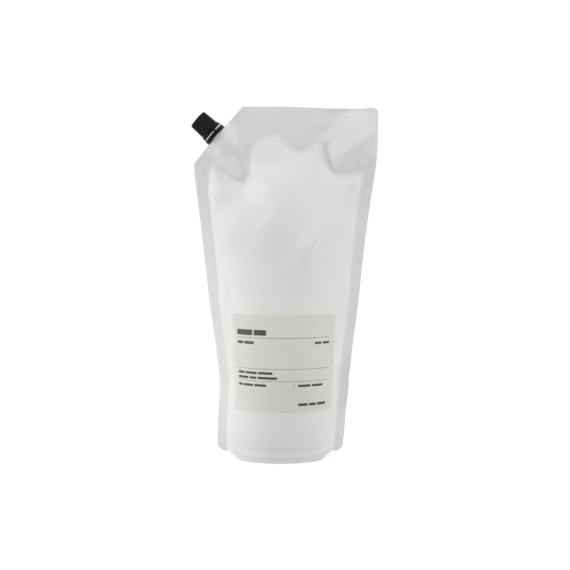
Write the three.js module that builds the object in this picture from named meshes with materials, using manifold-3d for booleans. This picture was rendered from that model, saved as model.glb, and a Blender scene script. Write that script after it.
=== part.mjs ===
// Hand soap refill pack: a filled stand-up film pouch with a clipped top corner that carries a
// moulded spout, a tamper band and a ribbed screw cap, and a plain label on its front.
// Millimetres, +Z up, -Y to the front. The origin is the middle of the base, on the surface that
// the pack stands on.

import * as THREE from 'three';
import { mergeVertices } from 'three/addons/utils/BufferGeometryUtils.js';
import Module from 'manifold-3d';

const wasm = await Module();
wasm.setup();

// Film pouch
const FLAT_WIDTH = 150; // the empty pouch laid flat, over both side seals
const HEIGHT = 285;
const SIDE_SEAL = 8;
const TOP_SEAL = 10;
const SEAL_THICKNESS = 0.6; // both films, pressed together
const CUT_RUN = 40.6; // the clipped corner, along the top edge
const CUT_RISE = 46.2; // the clipped corner, down the side
const CUT_ROUNDING = 1.4;
const CORNER_RADIUS = 6; // the other top corner
const FIN_CORNER_RADIUS = 6.5; // the lower ends of the side seals
const BASE_DEPTH = 83.6; // front to back, where the filled pack is deepest
// Height of the lower edge over the standing surface, by the share of the way to the side seal
const BASE_LIFT = [[0, 0], [0.52, 0], [0.66, 3], [0.78, 4.4], [0.92, 4.2], [1, 2.5]];
const LIFT_FADE = 34; // that lift has died out at this height

// Base gusset
const RIM_HEIGHT = 6.6; // the sealed rim under the body
const RIM_CREASE = 2.2; // how far the film is drawn in above the rim
const CREASE_EASE = 5; // most of that is gone this far above the rim
const CREASE_FADE = 14; // and all of it this far above the rim
const RIM_THICKNESS = 0.7;
const GUSSET_GROOVE = 4.5; // height of the groove inside the rim
const GUSSET_RUN = 13; // from the rim to the flat that the pack stands on

// Shape of the filled body: share of the height of the shoulder line, share of the base depth
const BODY_PROFILE = [
  [0, 0.994], [0.05, 1], [0.15, 0.994], [0.245, 0.985], [0.31, 0.955], [0.375, 0.92],
  [0.44, 0.873], [0.51, 0.82], [0.585, 0.77], [0.68, 0.687], [0.77, 0.583], [0.85, 0.45],
  [0.915, 0.3], [0.955, 0.18], [0.985, 0.075], [1, 0],
];
const SHOULDER_DROP = 35; // from the top edge down to the shoulder line where it isn't folded
const SHOULDER_FADE = 75; // folds of the shoulder line have died out this far below it
const LEAN = [[0, -2.5], [30, -1.5], [60, 0.5], [170, 0.2], [215, 0.6], [240, 1.3], [285, 2]];
const TOP_DIP = 1.6; // the curled right half of the top edge stands this much lower
const TOP_DIP_START = -10; // across from the middle
const TOP_DIP_FULL = 48;
const TOP_DIP_FADE = 60; // down from the top edge
const TOP_DIP_EASE = 13; // the dip begins to ease off this far inside the right side seal's edge
const TOP_DIP_END = 5; // and is gone this far past it
// The left side seal leans to the back: height, slope
const SEAL_LEAN = [[0, 0], [12, 0.05], [34, 0.36], [150, 0.36], [190, 0.2], [230, 0]];

// Shoulder line of each film: across from the middle, then down from the top edge
const FRONT_SHOULDER = [
  [-75, 47], [-60, 49], [-46, 56], [-33, 60], [-28, 46], [-22, 31], [-9, 22], [2, 30],
  [13, 37], [31, 27], [35, 38], [39.5, 53], [52, 51], [66, 48], [75, 47],
];
const BACK_SHOULDER = [
  [-75, 47], [-55, 45], [-38, 54], [-20, 36], [0, 26], [16, 34], [30, 28], [44, 48], [75, 47],
];

// Folds that stand out from a film (+) or dent it (-), listed as from point and to point (across,
// down from the top edge), width on the left and on the right of the way from one to the other,
// height at the from point and at the to point
const FRONT_FOLDS = [
  { from: [-50, 33], to: [-36, 57], left: 8, right: 8, height: [3.2, 1.2] },
  { from: [-36, 24], to: [-31, 48], left: 5, right: 5, height: [1.4, 1.8] },
  { from: [-45, 31], to: [-33, 58], left: 5, right: 5, height: [-1.6, -2.6] },
  { from: [-29, 14], to: [-29, 60], left: 6, right: 5, height: [-0.6, -2.4] },
  { from: [-54, 50], to: [-34, 61], left: 5, right: 6, height: [-1.4, -2.4] },
  { from: [-7, 60], to: [-22, 90], left: 24, right: 24, height: [2.4, 3.4] },
  { from: [31.5, 12], to: [39, 52], left: 6, right: 8, height: [-0.8, -3] },
  { from: [42, 49], to: [72, 23], left: 18, right: 8, height: [4.6, 4.4] },
  { from: [62, 53], to: [36, 72], left: 10, right: 12, height: [2.8, 3] },
  { from: [34, 75], to: [5, 128], left: 13, right: 16, height: [3, 1.6] },
  { from: [60, 62], to: [20, 124], left: 9, right: 9, height: [-1.8, -2.2] },
];
const BACK_FOLDS = [
  { from: [-38, 20], to: [-36, 56], left: 8, right: 8, height: [-0.8, -2.8] },
  { from: [34, 16], to: [44, 50], left: 8, right: 8, height: [-0.8, -2.8] },
  { from: [-50, 56], to: [-22, 92], left: 10, right: 10, height: [2.4, 1.4] },
  { from: [56, 54], to: [24, 88], left: 10, right: 10, height: [2.4, 1.4] },
];
const FOLD_FADE = 9; // a fold dies out over this length past its ends
const TOP_WAVE = 1.8; // gentle waves of the flat film above the shoulder
const TOP_WAVE_LENGTH = 68;

// Fades of the body's swell towards the seals, as lengths from the inner edge of a seal
const TOP_SWELL_FADE = 20;
const CUT_SWELL_FADE = 22;
const CUT_BODY_FADE = 14;
const SIDE_SWELL_FADE = 12;

// Label on the front
const LABEL_WIDTH = 94;
const LABEL_HEIGHT = 77;
const LABEL_BOTTOM = 40.4;
const LABEL_THICKNESS = 0.3;

// Spout, along its own axis, counted outward from just inside the clipped edge
const SPOUT_SHARE = 0.48; // where the axis crosses the clipped edge, from its lower end
const SPOUT_SUNK = 0.4; // from there out to the clipped edge
const BORE_DIAMETER = 8.6;
const NECK_DIAMETER = 11;
const NECK_TOP = 18.9;
const COLLAR_DIAMETER = 13.2;
const BEAD_DIAMETER = 17.1;
const BEAD_BOTTOM = 3.95;
const BEAD_HEIGHT = 1.1;
const BOAT_LENGTH = 29;
const BOAT_THICKNESS = 11.2;
const BOAT_TIP_THICKNESS = 1;
const BOAT_DEPTH = 9;
const BOAT_RIBS = 4;
const BOAT_RIB_HEIGHT = 0.45;
const BOAT_RIB_THICKNESS = 1;
const BOAT_WALL = 0.5; // film over the boat
const BOAT_SLACK = 0.35; // the film lies this loose over the boat
const BOAT_RUNOUT = 24; // the film falls away over this length behind the boat

// Thread of the neck and the cap, right-hand
const THREAD_PITCH = 3.2;
const THREAD_HEIGHT = 0.7;
const THREAD_ROOT = 1.3;
const THREAD_CREST = 0.7;
const NECK_THREAD_START = 8.7;
const NECK_THREAD_TURNS = 2.25;
const CAP_THREAD_TURNS = 1.75;
const THREAD_STEPS = 20; // facets in one turn

// Tamper band and its broken bridges
const BAND_DIAMETER = 19.8;
const BRIDGES = 4;
const BRIDGE_WIDTH = 1.3;
const BRIDGE_DEPTH = 0.7;
const FIRST_BRIDGE = -75; // degrees round the axis

// Cap
const CAP_SKIRT_DIAMETER = 18.7;
const CAP_SKIRT_HEIGHT = 2.8;
const CAP_BASE_DIAMETER = 17;
const CAP_TOP_DIAMETER = 16;
const CAP_ROOF = 1.4;
const CAP_EDGE_ROUNDING = 0.8;
const CAP_RIBS = 30;
const CAP_RIB_DEPTH = 0.4;
const CAP_RIB_START = 0.7; // above the skirt
const LINER_THICKNESS = 0.7;

const CLEARANCE = 0.3; // between pieces that face each other
const ROUND = 30; // facets round the neck, the band and the bore

// Facets of the films: how wide and how high they are at most
const LABEL_FACET_WIDTH = 6.2;
const SIDE_FACET_WIDTH = 5.5;
const LABEL_FACET_HEIGHT = 13;
const LOW_FACET_HEIGHT = 11;
const MIDDLE_FACET_HEIGHT = 10.5;
const FOLD_FACET_HEIGHT = 5;
const FOLD_FACETS_START = 55; // the small ones begin this far below the shoulder line

// Values that follow from the sizes above
const HALF_FILM = SEAL_THICKNESS / 2;
const PANEL = FLAT_WIDTH - 2 * SIDE_SEAL;
const HALF_PANEL = PANEL / 2;
const HALF_FLAT = FLAT_WIDTH / 2;
const SHOULDER_HEIGHT = HEIGHT - SHOULDER_DROP;

// Helper curves
function lerp(a, b, t) {
  return a + (b - a) * t;
}

function smooth(from, to, value) {
  const t = Math.min(1, Math.max(0, (value - from) / (to - from)));
  return t * t * (3 - 2 * t);
}

// A smooth curve through stations, without overshoot between them
function curve(stations, value) {
  const last = stations.length - 1;
  const at = Math.min(stations[last][0], Math.max(stations[0][0], value));
  let i = 0;
  while (i < last - 1 && at > stations[i + 1][0]) {
    i += 1;
  }
  const rise = (k) => (stations[k + 1][1] - stations[k][1]) / (stations[k + 1][0] - stations[k][0]);
  const slope = (k) => {
    if (k === 0 || k === last) {
      return rise(Math.min(k, last - 1));
    }
    const product = rise(k - 1) * rise(k);
    return product > 0 ? (2 * product) / (rise(k - 1) + rise(k)) : 0;
  };
  const span = stations[i + 1][0] - stations[i][0];
  const t = (at - stations[i][0]) / span;
  return (2 * t ** 3 - 3 * t ** 2 + 1) * stations[i][1] + (t ** 3 - 2 * t ** 2 + t) * span * slope(i)
    + (3 * t ** 2 - 2 * t ** 3) * stations[i + 1][1] + (t ** 3 - t ** 2) * span * slope(i + 1);
}

// A film panel of fixed width that bulges by a given depth is an arc: this is half the arc's angle
function swellAngle(depth) {
  let low = 0.001;
  let high = 2.3;
  for (let step = 0; step < 40; step += 1) {
    const middle = (low + high) / 2;
    if ((HALF_PANEL / middle) * (1 - Math.cos(middle)) < depth) {
      low = middle;
    } else {
      high = middle;
    }
  }
  return (low + high) / 2;
}

function bodySwell(height) {
  const share = curve(BODY_PROFILE, height / SHOULDER_HEIGHT);
  return swellAngle((share * BASE_DEPTH) / 2);
}

// The clipped corner and the spout's axis in the plane of the flat pouch
const CUT_FOOT = new THREE.Vector2(curve(LEAN, HEIGHT - CUT_RISE) - HALF_FLAT, HEIGHT - CUT_RISE);
const CUT_LENGTH = Math.hypot(CUT_RUN, CUT_RISE);
const CUT_ALONG = new THREE.Vector2(CUT_RUN, CUT_RISE).divideScalar(CUT_LENGTH);
const CUT_OUT = new THREE.Vector2(-CUT_ALONG.y, CUT_ALONG.x);
const SPOUT_FOOT = CUT_FOOT.clone()
  .addScaledVector(CUT_ALONG, SPOUT_SHARE * CUT_LENGTH)
  .addScaledVector(CUT_OUT, -SPOUT_SUNK);

// Where a point of that plane lies along the clipped edge from the spout, and how far inside it
function cutPlace(x, z) {
  const from = new THREE.Vector2(x, z).sub(SPOUT_FOOT);
  return { along: from.dot(CUT_ALONG), inside: SPOUT_SUNK - from.dot(CUT_OUT) };
}

// Half the thickness of the boat, at a place along it
function boatHalf(along) {
  const share = Math.min(1, Math.abs(along) / (BOAT_LENGTH / 2));
  const tip = BOAT_TIP_THICKNESS / 2;
  return tip + (BOAT_THICKNESS / 2 - tip) * Math.cos((share * Math.PI) / 2) ** 1.3;
}

// Height of the folds of one film
function foldHeight(folds, x, drop) {
  let total = 0;
  for (const fold of folds) {
    const run = [fold.to[0] - fold.from[0], fold.to[1] - fold.from[1]];
    const length = Math.hypot(run[0], run[1]);
    const ahead = ((x - fold.from[0]) * run[0] + (drop - fold.from[1]) * run[1]) / length;
    const beside = ((x - fold.from[0]) * run[1] - (drop - fold.from[1]) * run[0]) / length;
    const width = beside > 0 ? fold.left : fold.right;
    const share = Math.min(1, Math.abs(beside) / width);
    const past = Math.max(0, -ahead, ahead - length);
    const height = lerp(fold.height[0], fold.height[1], Math.min(1, Math.max(0, ahead / length)));
    total += height * (1 - share) ** 1.4 * (1 + share) * (1 - smooth(0, FOLD_FADE, past));
  }
  return total;
}

// How far the front (side -1) or the back film (side 1) stands from the middle plane
function filmDepth(side, across, x, height) {
  const shoulder = side < 0 ? FRONT_SHOULDER : BACK_SHOULDER;
  const folds = side < 0 ? FRONT_FOLDS : BACK_FOLDS;
  const drop = HEIGHT - height;
  const shift = curve(shoulder, x) - SHOULDER_DROP;
  const near = smooth(SHOULDER_DROP + SHOULDER_FADE, SHOULDER_DROP, drop);
  const swell = bodySwell(Math.min(SHOULDER_HEIGHT, height + shift * near));
  const share = Math.min(1, Math.abs(across) / HALF_PANEL);
  const lens = (HALF_PANEL / swell) * (Math.cos(share * swell) - Math.cos(swell));
  const place = cutPlace(x, height);
  const sealed = smooth(0, TOP_SWELL_FADE, drop - TOP_SEAL)
    * smooth(0, CUT_SWELL_FADE, place.inside - SIDE_SEAL)
    * smooth(0, SIDE_SWELL_FADE, HALF_PANEL - Math.abs(across));
  const fold = foldHeight(folds, x, drop) * sealed;
  const body = Math.max(0, lens * smooth(-2, CUT_BODY_FADE, place.inside - SIDE_SEAL) + fold);
  const hump = (boatHalf(place.along) + CLEARANCE + BOAT_WALL + BOAT_SLACK - HALF_FILM)
    * (1 - smooth(BOAT_DEPTH, BOAT_DEPTH + BOAT_RUNOUT, place.inside))
    * (1 - smooth(BOAT_LENGTH / 2 - 2, BOAT_LENGTH / 2 + 2, Math.abs(place.along)));
  return HALF_FILM + Math.hypot(body, hump);
}

// Waves of the middle plane above the shoulder
function topWave(x, height) {
  const place = cutPlace(x, height);
  const above = smooth(SHOULDER_DROP + 25, TOP_SEAL, HEIGHT - height);
  return TOP_WAVE * above * smooth(8, 30, place.inside) * Math.sin((2 * Math.PI * x) / TOP_WAVE_LENGTH);
}

// How far the film is drawn in, just above the rim of the base
function rimInset(height) {
  return curve([
    [0, 0], [RIM_HEIGHT * 0.45, RIM_CREASE * 0.25], [RIM_HEIGHT, RIM_CREASE],
    [RIM_HEIGHT + CREASE_EASE, RIM_CREASE * 0.3], [RIM_HEIGHT + CREASE_FADE, 0],
  ], height);
}

// One point of a film: where it lies on the flat pouch, and which film it is
function filmPoint(side, across, height) {
  const share = Math.max(-1, Math.min(1, across / HALF_PANEL));
  const swell = bodySwell(height);
  const beyond = across - share * HALF_PANEL;
  const inset = rimInset(height) * (1 - share ** 8);
  const x = curve(LEAN, height) + (HALF_PANEL / swell) * Math.sin(share * swell) + beyond
    - inset * Math.sin(share * swell);
  const depth = Math.max(HALF_FILM, filmDepth(side, across, x, height) - inset * Math.cos(share * swell));
  const corner = Math.max(0, Math.abs(across) - (HALF_FLAT - FIN_CORNER_RADIUS));
  const round = FIN_CORNER_RADIUS - Math.sqrt(Math.max(0, FIN_CORNER_RADIUS ** 2 - corner ** 2));
  const lift = (curve(BASE_LIFT, Math.abs(share)) + round) * (1 - smooth(0, LIFT_FADE, height));
  const dip = TOP_DIP * smooth(TOP_DIP_START, TOP_DIP_FULL, x)
    * smooth(HALF_FLAT + TOP_DIP_END, HALF_FLAT - TOP_DIP_EASE, x)
    * smooth(HEIGHT - TOP_DIP_FADE, HEIGHT, height);
  const back = curve(SEAL_LEAN, height) * Math.max(0, -across - HALF_PANEL);
  return new THREE.Vector3(x, side * depth + topWave(x, height) + back, height + lift - dip);
}

// The flat pouch runs from its left to its right limit at each height
function leftLimit(height) {
  const over = (height - CUT_FOOT.y) / CUT_ROUNDING;
  const blend = over > 1 ? over : over < -1 ? 0 : (over + 1) ** 2 / 4;
  const straight = over > 0 ? curve(LEAN, CUT_FOOT.y) - curve(LEAN, height) : 0;
  return -HALF_FLAT + (blend * CUT_ROUNDING * CUT_RUN) / CUT_RISE + straight;
}

function rightLimit(height) {
  const over = Math.max(0, height - (HEIGHT - CORNER_RADIUS));
  return HALF_FLAT - CORNER_RADIUS + Math.sqrt(Math.max(0, CORNER_RADIUS ** 2 - over ** 2));
}

// Rows and columns of the film's facets
function spread(from, to, step) {
  const count = Math.max(1, Math.round((to - from) / step));
  return Array.from({ length: count }, (_, i) => lerp(from, to, i / count));
}

const LABEL_TOP = LABEL_BOTTOM + LABEL_HEIGHT;
const FOLDS_BOTTOM = SHOULDER_HEIGHT - FOLD_FACETS_START;
const ROWS = [
  0, RIM_HEIGHT * 0.45, RIM_HEIGHT, RIM_HEIGHT + 4,
  ...spread(RIM_HEIGHT + 9, LABEL_BOTTOM, LOW_FACET_HEIGHT),
  ...spread(LABEL_BOTTOM, LABEL_TOP, LABEL_FACET_HEIGHT),
  ...spread(LABEL_TOP, FOLDS_BOTTOM, MIDDLE_FACET_HEIGHT),
  ...spread(FOLDS_BOTTOM, HEIGHT - TOP_SEAL, FOLD_FACET_HEIGHT),
  ...spread(HEIGHT - TOP_SEAL, HEIGHT - CORNER_RADIUS, FOLD_FACET_HEIGHT), HEIGHT - CORNER_RADIUS,
  HEIGHT - CORNER_RADIUS * 0.5, HEIGHT - CORNER_RADIUS * 0.15, HEIGHT,
];
const EDGE_STEPS = [0, 0.1, 0.31, 0.62, 1, 1.4, 1.8, 2.3]; // in widths of the side seal
const CORE = HALF_FLAT - EDGE_STEPS[EDGE_STEPS.length - 1] * SIDE_SEAL;
const HALF_LABEL = LABEL_WIDTH / 2;
const COLUMNS = [
  ...EDGE_STEPS.slice(0, -1).map((share) => share * SIDE_SEAL - HALF_FLAT),
  ...spread(-CORE, -HALF_LABEL, SIDE_FACET_WIDTH),
  ...spread(-HALF_LABEL, HALF_LABEL, LABEL_FACET_WIDTH),
  ...spread(HALF_LABEL, CORE, SIDE_FACET_WIDTH), CORE,
  ...EDGE_STEPS.slice(0, -1).reverse().map((share) => HALF_FLAT - share * SIDE_SEAL),
];

// A column keeps its place on the flat pouch, squeezed together where the corner is clipped
function columnAt(column, height) {
  const left = leftLimit(height);
  const right = rightLimit(height);
  const t = (column + HALF_FLAT) / FLAT_WIDTH;
  const near = Math.min(1, (1 - t) * 1.6);
  const far = Math.min(1, t * 4);
  return column + (left + HALF_FLAT) * near + (right - HALF_FLAT) * far * (t > 0.75 ? (t - 0.75) * 4 : 0);
}

// Solids from points and triangles
function solid(points, faces) {
  const geometry = new THREE.BufferGeometry();
  geometry.setAttribute('position', new THREE.BufferAttribute(Float32Array.from(points.flat()), 3));
  geometry.setIndex(faces.flat());
  return geometry;
}

function toManifold(geometry) {
  const bare = geometry.clone();
  bare.deleteAttribute('normal');
  bare.deleteAttribute('uv');
  const merged = mergeVertices(bare, 1e-4);
  const triVerts = [];
  const index = merged.index.array;
  for (let i = 0; i < index.length; i += 3) {
    const [a, b, c] = [index[i], index[i + 1], index[i + 2]];
    if (a !== b && b !== c && c !== a) {
      triVerts.push(a, b, c);
    }
  }
  return new wasm.Manifold(new wasm.Mesh({
    numProp: 3,
    vertProperties: Float32Array.from(merged.attributes.position.array),
    triVerts: Uint32Array.from(triVerts),
  }));
}

function toGeometry(manifold) {
  const mesh = manifold.getMesh();
  const geometry = new THREE.BufferGeometry();
  geometry.setAttribute('position', new THREE.BufferAttribute(Float32Array.from(mesh.vertProperties), 3));
  geometry.setIndex(Array.from(mesh.triVerts));
  return geometry;
}

// A solid of revolution from a closed ring of [radius, height] corners, counter-clockwise
function turned(ring, facets = ROUND) {
  const profile = [...ring, ring[0]].map(([radius, height]) => new THREE.Vector2(radius, height));
  const geometry = new THREE.LatheGeometry(profile, facets);
  geometry.rotateX(Math.PI / 2);
  return geometry;
}

// The spout's own frame: its axis outward along Z, the clipped edge along X
const spoutTurn = new THREE.Matrix4().makeBasis(
  new THREE.Vector3(CUT_ALONG.x, 0, CUT_ALONG.y),
  new THREE.Vector3(0, 1, 0),
  new THREE.Vector3(CUT_OUT.x, 0, CUT_OUT.y),
).setPosition(SPOUT_FOOT.x, 0, SPOUT_FOOT.y);

// The boat: a pointed oval block between the films, grown by a margin on its flanks
function boatBlock(grow, from, to) {
  const steps = 12;
  const outline = [];
  for (let i = 0; i <= steps; i += 1) {
    const along = lerp(-BOAT_LENGTH / 2, BOAT_LENGTH / 2, i / steps);
    outline.push(new THREE.Vector2(along * (1 + (2 * grow) / BOAT_LENGTH), boatHalf(along) + grow));
  }
  const lower = outline.map((point) => new THREE.Vector2(point.x, -point.y)).reverse();
  const shape = new THREE.Shape([...outline, ...lower]);
  const geometry = new THREE.ExtrudeGeometry(shape, { depth: to - from, bevelEnabled: false });
  geometry.translate(0, 0, from);
  return geometry;
}

// Pouch: front grid, back grid, their edges, and the gusset underneath
function makePouch() {
  const points = [];
  const faces = [];
  const add = (point) => points.push([point.x, point.y, point.z]) - 1;
  const grid = (side) => ROWS.map((height) => COLUMNS.map(
    (column) => add(filmPoint(side, columnAt(column, height), height))));
  const front = grid(-1);
  const back = grid(1);
  const lastRow = ROWS.length - 1;
  const lastColumn = COLUMNS.length - 1;
  // Each four-sided facet is split along the diagonal that lies flatter
  const facet = (a, b, c, d) => {
    const flat = Math.abs(points[a][1] - points[c][1]) <= Math.abs(points[b][1] - points[d][1]);
    faces.push(...(flat ? [[a, b, c], [a, c, d]] : [[a, b, d], [b, c, d]]));
  };
  for (let i = 0; i < lastRow; i += 1) {
    for (let j = 0; j < lastColumn; j += 1) {
      facet(front[i][j], front[i][j + 1], front[i + 1][j + 1], front[i + 1][j]);
      facet(back[i][j + 1], back[i][j], back[i + 1][j], back[i + 1][j + 1]);
    }
    for (const [j, turn] of [[0, false], [lastColumn, true]]) {
      const [a, b, c, d] = [front[i][j], front[i + 1][j], back[i + 1][j], back[i][j]];
      faces.push(turn ? [a, c, b] : [a, b, c], turn ? [a, d, c] : [a, c, d]);
    }
  }
  for (let j = 0; j < lastColumn; j += 1) {
    const [a, b, c, d] = [front[lastRow][j], front[lastRow][j + 1], back[lastRow][j + 1], back[lastRow][j]];
    faces.push([a, b, c], [a, c, d]);
  }
  // Under the pack each column of facets runs from the front rim to the back rim
  const chains = COLUMNS.map((column, j) => {
    const rim = new THREE.Vector3(...points[front[0][j]]);
    const half = Math.abs(rim.y);
    if (half < RIM_THICKNESS * 2) {
      return [front[0][j], back[0][j]];
    }
    const squeeze = Math.min(1, half / (GUSSET_RUN * 1.6));
    const steps = [
      [RIM_THICKNESS, 0], [RIM_THICKNESS + 1, GUSSET_GROOVE],
      [GUSSET_RUN * 0.45, GUSSET_GROOVE * 0.35], [GUSSET_RUN, 0],
    ];
    const under = (side) => steps.map(([inward, up]) => add(new THREE.Vector3(
      rim.x, side * (half - inward * squeeze), rim.z + up * squeeze)));
    const backward = under(1);
    return [front[0][j], ...under(-1), ...backward.reverse(), back[0][j]];
  });
  for (let j = 0; j < lastColumn; j += 1) {
    const [a, b] = [chains[j], chains[j + 1]];
    if (a.length === b.length) {
      for (let k = 0; k < a.length - 1; k += 1) {
        faces.push([a[k], a[k + 1], b[k + 1]], [a[k], b[k + 1], b[k]]);
      }
    } else {
      const long = a.length > b.length ? a : b;
      const short = a.length > b.length ? b : a;
      const half = long.length / 2;
      for (let k = 0; k < long.length - 1; k += 1) {
        const end = k < half ? short[0] : short[1];
        faces.push(long === a ? [long[k], long[k + 1], end] : [long[k + 1], long[k], end]);
      }
      faces.push(long === a ? [long[half], short[1], short[0]] : [long[half], short[0], short[1]]);
    }
  }
  const body = toManifold(solid(points, faces));
  const cover = toManifold(
    boatBlock(CLEARANCE + BOAT_WALL, -BOAT_DEPTH, SPOUT_SUNK).applyMatrix4(spoutTurn));
  const pocket = toManifold(
    boatBlock(CLEARANCE, -BOAT_DEPTH - CLEARANCE, SPOUT_SUNK + 1).applyMatrix4(spoutTurn));
  return toGeometry(body.add(cover).subtract(pocket));
}

// Label: a thin sheet that follows the facets of the front film
function makeLabel() {
  const points = [];
  const faces = [];
  const rows = ROWS.filter((height) => height >= LABEL_BOTTOM && height <= LABEL_TOP);
  const columns = COLUMNS.filter((column) => Math.abs(column) <= HALF_LABEL + 1e-6);
  const layer = (gap) => rows.map((height) => columns.map((column) => {
    const point = filmPoint(-1, column, height);
    const beside = filmPoint(-1, column + 0.5, height).sub(filmPoint(-1, column - 0.5, height));
    const above = filmPoint(-1, column, height + 0.5).sub(filmPoint(-1, column, height - 0.5));
    point.addScaledVector(beside.cross(above).normalize(), gap);
    return points.push([point.x, point.y, point.z]) - 1;
  }));
  const inner = layer(CLEARANCE);
  const outer = layer(CLEARANCE + LABEL_THICKNESS);
  const quad = (a, b, c, d) => faces.push([a, b, c], [a, c, d]);
  const m = rows.length - 1;
  const n = columns.length - 1;
  for (let i = 0; i < m; i += 1) {
    for (let j = 0; j < n; j += 1) {
      quad(outer[i][j], outer[i][j + 1], outer[i + 1][j + 1], outer[i + 1][j]);
      quad(inner[i + 1][j + 1], inner[i][j + 1], inner[i][j], inner[i + 1][j]);
    }
    quad(outer[i][0], outer[i + 1][0], inner[i + 1][0], inner[i][0]);
    quad(outer[i + 1][n], outer[i][n], inner[i][n], inner[i + 1][n]);
  }
  for (let j = 0; j < n; j += 1) {
    quad(outer[0][j + 1], outer[0][j], inner[0][j], inner[0][j + 1]);
    quad(outer[m][j], outer[m][j + 1], inner[m][j + 1], inner[m][j]);
  }
  return solid(points, faces);
}

// A thread ridge that climbs to the left as seen from outside its open end, right-hand
function threadRidge(rootRadius, crestRadius, start, turns) {
  const points = [];
  const faces = [];
  const steps = Math.round(turns * THREAD_STEPS);
  for (let i = 0; i <= steps; i += 1) {
    const angle = (i / THREAD_STEPS) * 2 * Math.PI;
    const height = start + (i / THREAD_STEPS) * THREAD_PITCH;
    const full = Math.min(1, (Math.min(i, steps - i) + 0.6) / 4);
    const crest = lerp(rootRadius, crestRadius, full);
    for (const [radius, offset] of [
      [rootRadius, -THREAD_ROOT / 2], [crest, -THREAD_CREST / 2], [crest, THREAD_CREST / 2],
      [rootRadius, THREAD_ROOT / 2],
    ]) {
      points.push([radius * Math.cos(angle), radius * Math.sin(angle), height + offset]);
    }
  }
  const outward = crestRadius > rootRadius;
  const push = (a, b, c) => faces.push(outward ? [a, b, c] : [a, c, b]);
  for (let i = 0; i < steps; i += 1) {
    for (let k = 0; k < 4; k += 1) {
      const [a, b] = [i * 4 + k, i * 4 + ((k + 1) % 4)];
      push(a, b + 4, b);
      push(a, a + 4, b + 4);
    }
  }
  const end = steps * 4;
  push(0, 1, 2);
  push(0, 2, 3);
  push(end, end + 2, end + 1);
  push(end, end + 3, end + 2);
  return solid(points, faces);
}

// Spout: boat with its welding ribs, collar, bead and threaded neck, one moulding with a bore
const BEAD_TOP = BEAD_BOTTOM + BEAD_HEIGHT;
function makeSpout() {
  const neck = NECK_DIAMETER / 2;
  const collar = COLLAR_DIAMETER / 2;
  const bead = BEAD_DIAMETER / 2;
  const bore = BORE_DIAMETER / 2;
  let spout = toManifold(turned([
    [0, -0.5], [collar, -0.5], [collar, BEAD_BOTTOM], [bead, BEAD_BOTTOM + 0.1],
    [bead, BEAD_TOP - 0.2], [bead - 0.3, BEAD_TOP], [neck, BEAD_TOP], [neck, NECK_TOP - 0.4],
    [neck - 0.4, NECK_TOP], [0, NECK_TOP],
  ]));
  spout = spout.subtract(toManifold(boatBlock(8, -2, SPOUT_SUNK)));
  spout = spout.add(toManifold(boatBlock(-BOAT_RIB_HEIGHT, -BOAT_DEPTH, SPOUT_SUNK + 0.2)));
  const pitch = (BOAT_DEPTH - BOAT_RIB_THICKNESS) / (BOAT_RIBS - 1);
  for (let i = 0; i < BOAT_RIBS; i += 1) {
    const top = -i * pitch - 0.05;
    spout = spout.add(toManifold(boatBlock(0, top - BOAT_RIB_THICKNESS, top)));
  }
  const root = neck - 0.15;
  spout = spout.add(toManifold(
    threadRidge(root, neck + THREAD_HEIGHT, NECK_THREAD_START, NECK_THREAD_TURNS)));
  return toGeometry(spout.subtract(toManifold(turned([
    [0, -BOAT_DEPTH - 1], [bore, -BOAT_DEPTH - 1], [bore, NECK_TOP + 1], [0, NECK_TOP + 1],
  ]))));
}

// Tamper band: a loose ring under the bead, with the stubs of the bridges to the cap
const BAND_TOP = BEAD_BOTTOM - CLEARANCE;
const CAP_BOTTOM = BEAD_TOP + CLEARANCE;
function makeBand() {
  const outer = BAND_DIAMETER / 2;
  const inner = COLLAR_DIAMETER / 2 + CLEARANCE;
  const bottom = SPOUT_SUNK + CLEARANCE;
  let band = toManifold(turned([
    [inner, bottom], [outer - 0.3, bottom], [outer, bottom + 0.4], [outer, BAND_TOP - 0.4],
    [outer - 0.3, BAND_TOP], [inner, BAND_TOP],
  ]));
  const reach = BEAD_DIAMETER / 2 + CLEARANCE;
  for (let i = 0; i < BRIDGES; i += 1) {
    const stub = new THREE.BoxGeometry(BRIDGE_DEPTH, BRIDGE_WIDTH, BEAD_HEIGHT + 2 * CLEARANCE);
    stub.translate(reach + BRIDGE_DEPTH / 2, 0, BAND_TOP - CLEARANCE + (BEAD_HEIGHT + 2 * CLEARANCE) / 2);
    stub.rotateZ(((FIRST_BRIDGE + (i * 360) / BRIDGES) * Math.PI) / 180);
    band = band.add(toManifold(stub));
  }
  return toGeometry(band);
}

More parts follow.
